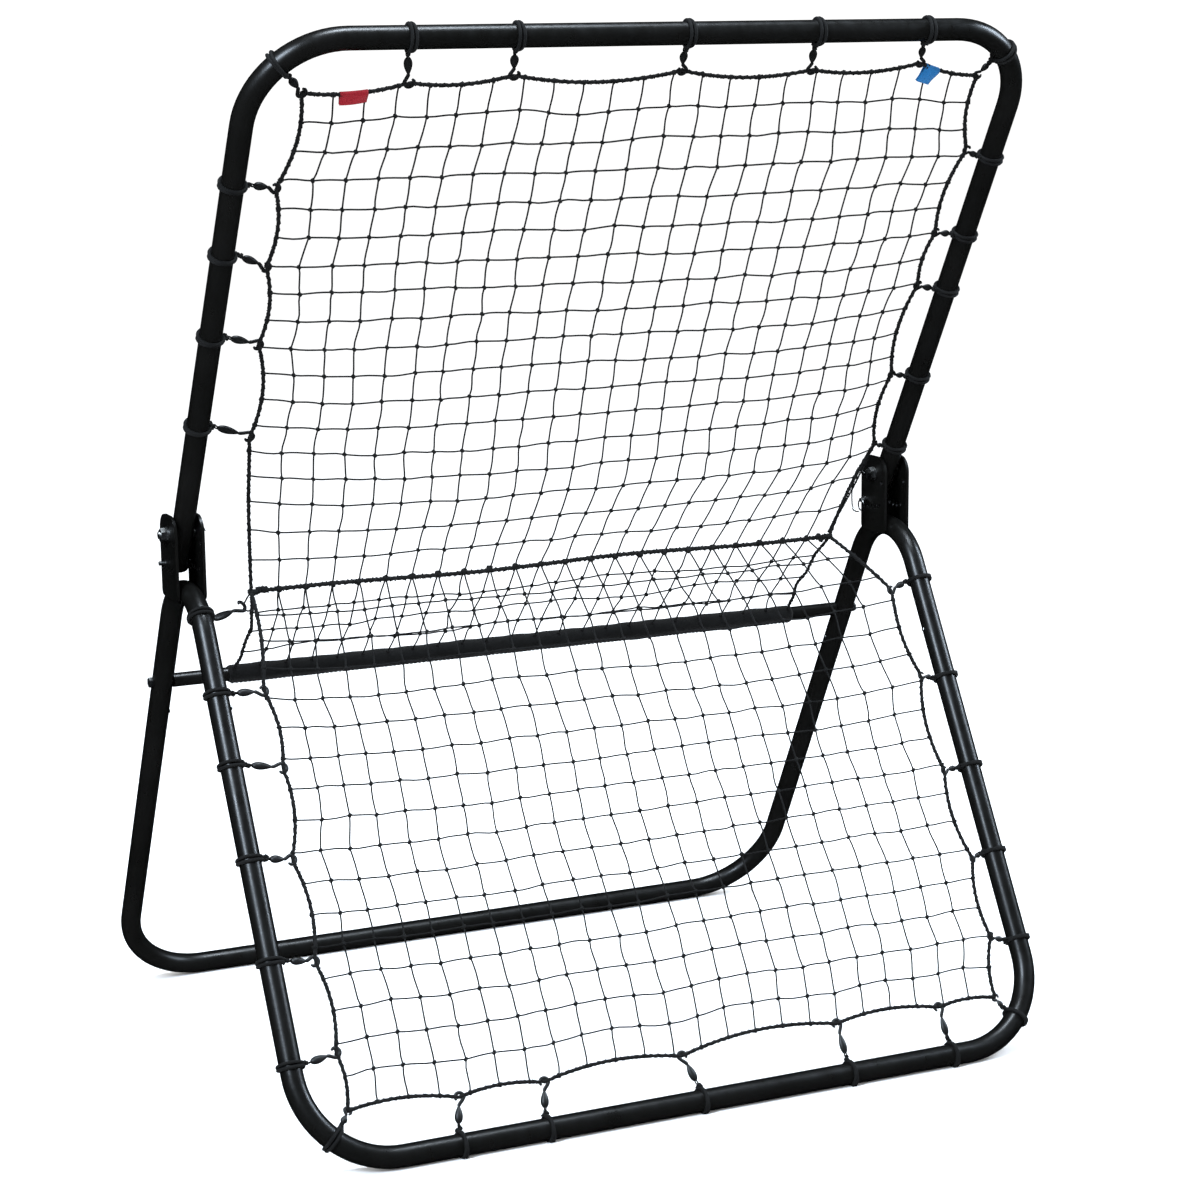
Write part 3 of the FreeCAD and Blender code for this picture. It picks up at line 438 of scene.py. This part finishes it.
def scallop(hooks, place, depth):
    """Edge value between hooks: straight from hook to hook, plus a sag that grows with the gap."""
    spots = [spot for spot, _ in hooks]
    values = [value for _, value in hooks]
    base = float(np.interp(place, spots, values))
    if place <= spots[0] or place >= spots[-1]:
        return base, 0.0
    index = int(np.searchsorted(spots, place)) - 1
    index = max(0, min(index, len(spots) - 2))
    gap = spots[index + 1] - spots[index]
    t = (place - spots[index]) / gap
    taut = 0.15 if index == len(spots) - 2 and values[-1] == FOLD_HALF else 1.0
    return base, taut * depth * gap * math.sin(math.pi * t) ** 0.8


EDGE_START = 0.071
COLUMNS = 23
UPPER_ROWS = 18
LOWER_ROWS = 17
ANCHOR_ROWS = 4
FIELD = [(rng.uniform(5, 16), rng.uniform(5, 16), rng.uniform(0, TAU)) for _ in range(7)]


def drift(u, v, seed):
    """Smooth unevenness of a hand-knotted net, about -1 to 1."""
    total = 0.0
    for k, (fu, fv, phase) in enumerate(FIELD):
        total += math.sin(fu * u + fv * v * (1 if k % 2 else -1) + phase * (seed + 1))
    return total / 4


def panel_point(which, u, v):
    """Point of the upper or lower net: u from left to right, v from the bar to the fold."""
    bar, away, normal = ((TOP, UPPER_DOWN, UPPER_NORMAL) if which == "upper"
                         else (FOOT, FRONT_UP, FRONT_NORMAL))
    left_hooks, right_hooks, end_hooks = ((UPPER_LEFT, UPPER_RIGHT, TOP_EDGE) if which == "upper"
                                          else (LOWER_LEFT, LOWER_RIGHT, FOOT_EDGE))
    fold_run = float((FOLD - bar) @ away)
    fold_off = (FOLD - bar) - away * fold_run
    start = EDGE_START
    run = start + (fold_run - start) * v
    left, left_sag = scallop(left_hooks + ((fold_run, FOLD_HALF),), run, 0.085)
    righty, right_sag = scallop(right_hooks + ((fold_run, FOLD_HALF),), run, 0.085)
    edge_left = math.exp(-u * 7)
    edge_right = math.exp(-(1 - u) * 7)
    x = -left * (1 - u) + righty * u
    x += left_sag * edge_left - right_sag * edge_right
    drop, end_sag = scallop(end_hooks, min(max(x, end_hooks[0][0]), end_hooks[-1][0]), 0.06)
    shift = (drop - start + end_sag) * math.exp(-v * 6) * (1 - v)
    run += shift
    side = abs(2 * u - 1) ** 5
    straight = v
    hugging = max(0.0, (v - 0.80) / 0.20) ** 1.6
    off = straight * (1 - side) + hugging * side
    slack = math.sin(math.pi * v) * (1 - (2 * u - 1) ** 2)
    belly = 0.004 * slack * drift(u * 0.6, v * 0.6, 3)
    inner = min(1, 12 * u * (1 - u)) * min(1, 10 * v * (1 - v))
    x += 0.0016 * inner * drift(u, v, 0)
    run += 0.0016 * inner * drift(u, v, 1)
    return bar + X * x + away * run + fold_off * off + normal * belly


SLEEVE_R = 0.0145
anchor_way = unit(CROSS - FOLD)
SLEEVE_LINE = CROSS - anchor_way * (SLEEVE_R - 0.0005)


def anchor_point(u, v):
    """Point of the short net from the fold back and down to the sleeve."""
    half = FOLD_HALF * (1 - v) + (SLEEVE_HALF - 0.008) * v
    x = (2 * u - 1) * half
    base = FOLD + (SLEEVE_LINE - FOLD) * v
    wave = math.sin(math.pi * v) * (0.006 * drift(u * 2.2, v, 5) - 0.004)
    pinch = 0.010 * math.sin(math.pi * v) * (math.exp(-u * 9) - math.exp(-(1 - u) * 9))
    return base + X * (x + pinch) + UP * wave + X * 0.003 * drift(u * 2, v, 2) * math.sin(math.pi * v)


def knot_grid(point, rows):
    jitter = rng.normal(0, 0.0009, (COLUMNS + 1, rows + 1, 3))
    grid = np.zeros((COLUMNS + 1, rows + 1, 3))
    for i in range(COLUMNS + 1):
        for j in range(rows + 1):
            loose = jitter[i, j] if 0 < i < COLUMNS and 0 < j < rows else 0
            grid[i, j] = point(i / COLUMNS, j / rows) + loose
    return grid


TWINE_R = 0.00122
MIDS = 4
net = Build()


def strand(knots):
    """Twine from knot to knot: each span is nearly straight, with a slight set of its own."""
    path = []
    for a, b in zip(knots, knots[1:]):
        way = b - a
        bow = rng.normal(0, 0.0007, 3)
        kink = rng.normal(0, 0.00035, 3)
        for k in range(MIDS):
            t = k / MIDS
            path.append(a + way * t + bow * math.sin(math.pi * t) + kink * math.sin(TAU * t))
    path.append(knots[-1])
    net.tube(path, TWINE_R, sides=5)


def knit(grid):
    columns, rows = grid.shape[0], grid.shape[1]
    for i in range(1, columns - 1):
        strand(grid[i])
    for j in range(1, rows - 1):
        strand(grid[:, j])
    for i in range(1, columns - 1):
        for j in range(1, rows - 1):
            diagonal = unit(grid[i + 1, j + 1] - grid[i - 1, j - 1])
            net.blob(grid[i, j], (0.0031, 0.0040), diagonal, 0.25)


upper_grid = knot_grid(lambda u, v: panel_point("upper", u, v), UPPER_ROWS)
lower_grid = knot_grid(lambda u, v: panel_point("lower", u, v), LOWER_ROWS)
anchor_grid = knot_grid(anchor_point, ANCHOR_ROWS)
for grid in (upper_grid, lower_grid, anchor_grid):
    knit(grid)
net_piece = net.piece("knotted_net", TWINE)
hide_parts("upper_net", "fold_net", "lower_net", "anchor_net")

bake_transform(net_piece)


# --- edge cords ---------------------------------------------------------------------------------

def lashed(build, path, radius, turns_gap, whip=0.00075):
    """Laid cord with a thinner twine whipped round it, and a lump where each turn is pulled in."""
    path = resample(path, 0.0022)
    run = np.arange(len(path)) * 0.0022
    swell = 1 + 0.08 * np.sin(run * 900) + 0.05 * np.sin(run * 370 + 1)
    build.tube(path, radius * swell, sides=9, twist=650, lobes=3, lobe=0.16)
    ahead = np.gradient(path, axis=0)
    ahead /= np.linalg.norm(ahead, axis=1, keepdims=True)
    side = unit(np.cross(ahead[0], UP + 0.3 * X))
    coil = []
    for i in range(len(path)):
        side = unit(side - ahead[i] * side.dot(ahead[i]))
        other = np.cross(ahead[i], side)
        angle = TAU * run[i] / turns_gap
        coil.append(path[i] + (side * math.cos(angle) + other * math.sin(angle)) * (radius + whip * 0.5))
    build.tube(coil, whip, sides=5)


def lashings(build, knots, radius):
    for spot in knots:
        build.blob(spot, (radius, radius * 1.15), rng.normal(0, 1, 3), 0.3)


def edge_line(which, side, steps=70):
    u = 0.0 if side < 0 else 1.0
    return [panel_point(which, u, v) for v in np.linspace(0, 1, steps)]


def end_line(which, steps=110):
    return [panel_point(which, u, 0) for u in np.linspace(0, 1, steps)]


CORD_R = 0.0025
for which, body in (("upper", "upper_frame"), ("lower", "base")):
    grid = upper_grid if which == "upper" else lower_grid
    cord = Build()
    left_side = edge_line(which, -1)
    right_side = edge_line(which, 1)
    lashed(cord, left_side[::-1] + end_line(which)[1:-1] + right_side, CORD_R, 0.011)
    rows = grid.shape[1]
    ties = [grid[0, j] for j in range(1, rows - 1)] + [grid[-1, j] for j in range(1, rows - 1)]
    ties += [grid[i, 0] for i in range(1, COLUMNS)]
    lashings(cord, ties, 0.0037)
    cord_piece = cord.piece(which + "_edge_rope", CORD)
    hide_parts(which + "_edge_cord")
    if which == "upper":
        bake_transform(cord_piece)
    else:
        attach(cord_piece, "base")

fold = Build()
spots = np.linspace(-FOLD_HALF, FOLD_HALF, 60)
fold_path = [FOLD + X * x + UP * 0.0022 * drift(x * 1.3, 0.2, 2) for x in spots]
lashed(fold, fold_path, 0.0030, 0.0075, 0.0011)
lashings(fold, [lower_grid[i, -1] for i in range(COLUMNS + 1)], 0.0052)
for end in (-1, 1):
    for k in range(5):
        fold.blob(FOLD + X * end * (FOLD_HALF - 0.005 * k) + rng.normal(0, 0.0012, 3),
                  (0.0052, 0.0046), rng.normal(0, 1, 3), 0.3)
fold_piece = fold.piece("fold_rope", CORD, "base")
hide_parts("fold_cord")

anchor_cords = Build()
for u in (0.0, 1.0):
    lashed(anchor_cords, [anchor_point(u, v) for v in np.linspace(0, 1, 24)], 0.0021, 0.009, 0.0009)
    lashings(anchor_cords, [anchor_grid[int(u * COLUMNS), j] for j in range(1, ANCHOR_ROWS)], 0.0033)
for i in range(COLUMNS + 1):
    anchor_cords.blob(anchor_grid[i, -1], (0.0022, 0.003), X, 0.3)
anchor_piece = anchor_cords.piece("anchor_side_ropes", CORD, "base")


# --- fabric sleeve on the crossbar ----------------------------------------------------------------

sleeve = Build()
AROUND = 40
along_x = np.linspace(-SLEEVE_HALF, SLEEVE_HALF, 420)
rings = []
for x in along_x:
    ring = []
    hem = min(1.0, (SLEEVE_HALF - abs(x)) / 0.004)
    for k in range(AROUND):
        a = TAU * k / AROUND
        pull = 0.0004 * math.sin(x * 143 + 2.2 * math.sin(a)) * (0.5 + 0.5 * math.sin(a + 0.6))
        crease = 0.0003 * math.sin(x * 61 + a * 2 + 1.7 * math.sin(x * 17))
        flat_top = 0.0006 * math.cos(2 * a)
        seam = 0.0012 * math.exp(-((a - 4.2) / 0.10) ** 2)
        r = SLEEVE_R - 0.0011 + pull + crease + flat_top + seam - 0.0022 * (1 - hem)
        ring.append(CROSS + X * x + r * np.array((0, math.cos(a), math.sin(a))))
    rings.append(ring)
inner_r = 0.0106
for x in (SLEEVE_HALF - 0.001, -SLEEVE_HALF + 0.001):
    turns = [TAU * k / AROUND for k in range(AROUND)]
    rings.append([CROSS + X * x + inner_r * np.array((0, math.cos(a), math.sin(a))) for a in turns])
count = len(rings)
faces = []
for i in range(count):
    n = (i + 1) % count
    for k in range(AROUND):
        m = (k + 1) % AROUND
        faces.append((i * AROUND + k, i * AROUND + m, n * AROUND + m, n * AROUND + k))
sleeve.add(np.concatenate(rings), faces)
for x in np.arange(-SLEEVE_HALF + 0.006, SLEEVE_HALF - 0.004, 0.0065):
    a = 4.2 + 0.17
    r = SLEEVE_R - 0.0006
    spot = CROSS + X * x + r * np.array((0, math.cos(a), math.sin(a)))
    sleeve.tube([spot - X * 0.0021, spot, spot + X * 0.0021], 0.00035, sides=4)
sleeve_piece = sleeve.piece("sleeve_cover", SLEEVE, "base")
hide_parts("anchor_sleeve")


# --- elastic loops and S-hooks ------------------------------------------------------------------

ELASTIC_R = 0.0023
EYE_LONG = 0.0035
EYE_WIDE = 0.0032
EYE_WIRE = 0.0011
HOOK_BEND = 0.0060
HOOK_STEM_R = 0.0027
HOOK_BEND_R = 0.0026
HOOK_TIP_R = 0.0018


def loop_and_hook(loops, hooks, point, tube_dir, target, normal):
    """Elastic cord wound twice round the tube and gathered, and the hook from it to the edge."""
    point, tube_dir, target = (np.asarray(v, float) for v in (point, tube_dir, target))
    tube_dir = unit(tube_dir)
    to_net = unit(target - point - tube_dir * tube_dir.dot(target - point))
    other = np.cross(tube_dir, to_net)
    for turn, lean in ((-1, 0.10), (1, -0.07)):
        ring = []
        for k in range(36):
            a = TAU * k / 36
            pinch = 0.55 + 0.45 * (0.5 - 0.5 * math.cos(a))
            shift = tube_dir * (turn * ELASTIC_R * 1.05 * pinch + lean * TUBE_R * math.sin(a))
            r = TUBE_R + ELASTIC_R * 0.88
            ring.append(point + (to_net * math.cos(a) + other * math.sin(a)) * r + shift)
        loops.tube(ring, ELASTIC_R, sides=8, closed=True, twist=0, lobes=0)
    straight = unit(target - (point + to_net * TUBE_R))
    gap = float(np.linalg.norm(target - (point + to_net * TUBE_R)))
    knot = point + to_net * (TUBE_R + 0.0042)
    for k in range(5):
        loops.blob(knot + straight * (k * 0.0014 - 0.002) + rng.normal(0, 0.0012, 3),
                   (0.0036, 0.0032), rng.normal(0, 1, 3), 0.3)
    for k in range(2):
        tail = knot + (other * (1 if k else -1) + tube_dir * rng.uniform(-0.6, 0.6)) * 0.0065
        loops.tube([knot, (knot + tail) / 2 + straight * 0.0015, tail], 0.0012, sides=6)
    eye = knot + straight * min(0.008, gap * 0.18)
    side = unit(np.cross(straight, normal))
    if rng.random() < 0.5:
        side = -side
    ring = [eye - straight * (EYE_LONG * math.cos(a) + 0.001) + normal * EYE_WIDE * math.sin(a)
            for a in np.arange(14) * TAU / 14]
    loops.tube(ring, EYE_WIRE, sides=6, closed=True)
    far = float(np.linalg.norm(target - eye))
    drop_len = far * 0.64
    bulk = min(1.0, 0.45 + gap / 0.075)
    body = []
    thick = []
    for t in np.linspace(0, 1, 13):
        body.append(eye + straight * (0.0005 + drop_len * t))
        thick.append((0.0018 + 0.0040 * math.sin(math.pi * t ** 0.75) ** 0.9) * bulk)
    bend_r = HOOK_BEND * bulk
    centre = target
    start = np.array(body[-1])
    for t in np.linspace(0.1, 0.9, 7):
        ease = t * t * (3 - 2 * t)
        body.append(start + straight * (float((centre - start) @ straight) * t) + side * bend_r * ease)
        thick.append(HOOK_STEM_R * bulk)
    for a in np.linspace(0, math.radians(225), 16):
        body.append(centre + side * bend_r * math.cos(a) + straight * bend_r * math.sin(a))
        thick.append((HOOK_BEND_R if a < 3.5 else HOOK_TIP_R) * bulk)
    body.append(body[-1] - straight * 0.0004)
    thick.append(0.0004)
    hooks.tube(body, thick, sides=8, flat=(unit(normal), 0.66))


def side_spots(which, side, pairs):
    bar, away, normal = ((TOP, UPPER_DOWN, UPPER_NORMAL) if which == "upper"
                         else (FOOT, FRONT_UP, FRONT_NORMAL))
    fold_run = float((FOLD - bar) @ away)
    found = []
    for on_tube, on_net in pairs:
        v = (on_net - EDGE_START) / (fold_run - EDGE_START)
        found.append((bar + X * side * HALF + away * on_tube, away,
                      panel_point(which, 0.0 if side < 0 else 1.0, v), normal))
    return found


def end_spots(which, pairs):
    bar, away, normal = ((TOP, UPPER_DOWN, UPPER_NORMAL) if which == "upper"
                         else (FOOT, FRONT_UP, FRONT_NORMAL))
    bend = 0.120 if which == "upper" else 0.125
    hooks = TOP_EDGE if which == "upper" else FOOT_EDGE
    found = []
    for on_bar, on_net in pairs:
        low, high = hooks[0][0], hooks[-1][0]
        found.append((bar + X * on_bar, X, panel_point(which, (on_net - low) / (high - low), 0), normal))
    inset = bend * (1 - math.sqrt(0.5))
    for side in (-1, 1):
        corner = panel_point(which, 0.0 if side < 0 else 1.0, 0)
        found.append((bar + X * side * (HALF - inset) + away * inset, unit(away + X * side),
                      corner, normal))
    return found


GROUPS = {
    "top": ("upper_frame", end_spots("upper", ((-0.350, -0.340), (-0.207, -0.200), (0.030, 0.035),
                                               (0.219, 0.226), (0.385, 0.390)))),
    "upper_left": ("upper_frame", side_spots("upper", -1, ((0.205, 0.211), (0.310, 0.330),
                                                           (0.436, 0.452), (0.580, 0.603)))),
    "upper_right": ("upper_frame", side_spots("upper", 1, ((0.202, 0.190), (0.330, 0.326),
                                                           (0.424, 0.416), (0.578, 0.574),
                                                           (0.708, 0.702)))),
    "bottom": ("base", end_spots("lower", ((-0.344, -0.334), (-0.221, -0.213), (0.005, -0.009),
                                           (0.234, 0.232), (0.397, 0.396)))),
    "lower_left": ("base", side_spots("lower", -1, ((0.137, 0.147), (0.274, 0.268), (0.412, 0.406),
                                                    (0.542, 0.531), (0.642, 0.640)))),
    "lower_right": ("base", side_spots("lower", 1, ((0.146, 0.157), (0.277, 0.271), (0.408, 0.406),
                                                    (0.547, 0.552), (0.700, 0.690)))),
}
APEX_BEND = 0.090
REAR_LEAN = math.radians(28.53)
rise = (REAR[1] - FOOT[1]) / (math.tan(LEAN) + math.tan(REAR_LEAN))
tangent = APEX_BEND * math.tan((math.pi - LEAN - REAR_LEAN) / 2)
turn = math.radians(17)
loop_point = (FOOT - X * HALF + FRONT_UP * (rise / math.cos(LEAN) - tangent)
              - FRONT_NORMAL * APEX_BEND * (1 - math.cos(turn)) + FRONT_UP * APEX_BEND * math.sin(turn))
loop_way = FRONT_UP * math.cos(turn) - FRONT_NORMAL * math.sin(turn)
tie_spot = FOLD - X * (FOLD_HALF + 0.014) - UP * 0.018
GROUPS["lower_left"][1].append((loop_point, loop_way, tie_spot, FRONT_NORMAL))
for name, (body, fixings) in GROUPS.items():
    loops = Build()
    hooks = Build()
    for fixing in fixings:
        loop_and_hook(loops, hooks, *fixing)
    loops.points = [(x, y, max(z, 0.0004)) for x, y, z in loops.points]
    loop_piece = loops.piece(name + "_elastic", ELASTIC, body)
    hook_piece = hooks.piece(name + "_s_hooks", HOOK, body)
    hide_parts(name + "_loops")
    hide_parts(name + "_hooks")

ties = Build()
tie_path = smooth_path([tie_spot + X * 0.002, tie_spot + X * 0.008 + UP * 0.010,
                        FOLD - X * FOLD_HALF], 0.002)
ties.tube(tie_path, 0.0012, sides=6)
tie_path = smooth_path([tie_spot + X * 0.002, tie_spot + X * 0.007 - UP * 0.008,
                        panel_point("lower", 0.0, 0.955)], 0.002)
ties.tube(tie_path, 0.0012, sides=6)
ties_piece = ties.piece("fold_end_ties", CORD, "base")

pull = Build()
high = panel_point("upper", 1.0, (0.708 - EDGE_START) / (float((FOLD - TOP) @ UPPER_DOWN) - EDGE_START))
low = FOLD + X * (FOLD_HALF - 0.002) + UP * 0.006
for bow in (0.003, -0.002):
    span = [high + (low - high) * t + X * bow * math.sin(math.pi * t) for t in np.linspace(0, 1, 40)]
    lashed(pull, span, 0.0013, 0.008, 0.0006)
pull_piece = pull.piece("fold_pull_cord", CORD)
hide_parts("fold_tie")
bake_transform(pull_piece)


# --- tags ---------------------------------------------------------------------------------------

def tag(name, node, material, x, width, length, slant):
    """Folded tape over the top edge cord: front and back leaves hang below it."""
    u = (x - TOP_EDGE[0][0]) / (TOP_EDGE[-1][0] - TOP_EDGE[0][0])
    build = Build()
    across_steps = 9
    profile = []
    for t in np.linspace(-1, 1, 25):
        if abs(t) < 0.28:
            a = t / 0.28 * math.pi / 2
            profile.append((-math.cos(a) * 0.0030, math.sin(a) * 0.0030))
        else:
            drop = (abs(t) - 0.28) / 0.72 * length
            spread = 0.0030 * (1 - 0.55 * min(1, drop / length * 1.6))
            profile.append((drop, math.copysign(spread, t)))
    half = 0.00045
    layers = []
    for layer in (half, -half):
        points = []
        for j, (drop, out) in enumerate(profile):
            for i in range(across_steps):
                s = i / (across_steps - 1) - 0.5
                curl = 0.0012 * math.sin(drop * 160 + s * 3) * (drop > 0)
                outward = layer * (1 if out >= 0 else -1) * (1 if abs(out) > 0.0006 else 0.4)
                base = panel_point("upper", u + s * width / 0.965, 0)
                points.append(base + UPPER_DOWN * (drop - (layer if drop <= 0 else 0))
                              + UPPER_NORMAL * (out + outward + curl) + X * (slant * max(drop, 0)))
        layers.append(points)
    rows = len(profile)
    size = rows * across_steps
    faces = []
    for j in range(rows - 1):
        for i in range(across_steps - 1):
            a = j * across_steps + i
            b = a + across_steps
            faces.append((a, a + 1, b + 1, b))
            faces.append((size + a, size + b, size + b + 1, size + a + 1))
    rim = [(0, i) for i in range(across_steps)] + [(j, across_steps - 1) for j in range(1, rows)]
    rim += [(rows - 1, i) for i in range(across_steps - 2, -1, -1)]
    rim += [(j, 0) for j in range(rows - 2, 0, -1)]
    loop = [j * across_steps + i for j, i in rim]
    for a, b in zip(loop, loop[1:] + loop[:1]):
        faces.append((b, a, size + a, size + b))
    build.add(layers[0] + layers[1], faces)
    piece = build.piece(name, material, "upper_frame")
    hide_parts(node)
    return piece


tag("red_tape", "red_tag", RED, -0.411, 0.036, 0.014, 0.05)
tag("blue_tape", "blue_tag", BLUE, 0.411, 0.022, 0.022, -0.45)


# --- tether cables ------------------------------------------------------------------------------

for side, name in ((-1, "left"), (1, "right")):
    low, high = (np.array(v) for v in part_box("pin_tether_" + name))
    pin_low = np.array(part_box("lock_pin_" + name)[0])
    x = (low[0] + high[0]) / 2
    ring_low = pin_low[2]
    start = np.array((x, PIVOT[1] + 0.004, PIVOT[2] + 0.001))
    route = [start, start + (0, 0.020, 0.004), (x - side * 0.002, PIVOT[1] + 0.036, PIVOT[2] - 0.020),
             (x - side * 0.002, PIVOT[1] + 0.037, PIVOT[2] - 0.050),
             (x - side * 0.001, PIVOT[1] + 0.030, ring_low),
             (x, pin_low[1] + 0.004, ring_low + 0.0005)]
    cable = Build()
    path = smooth_path(route, 0.0012)
    cable.tube(path, 0.0010, sides=8, twist=1500, lobes=5, lobe=0.12)
    for spot in (0.16, 0.50, 0.86):
        index = int(len(path) * spot)
        crimp = path[max(0, index - 3):index + 4]
        cable.tube(crimp, [0.0012, 0.0019, 0.0019, 0.0019, 0.0019, 0.0019, 0.0012][:len(crimp)], sides=8)
    piece = cable.piece("tether_cable_" + name, ZINC)
    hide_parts("pin_tether_" + name)
    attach(piece, "base")
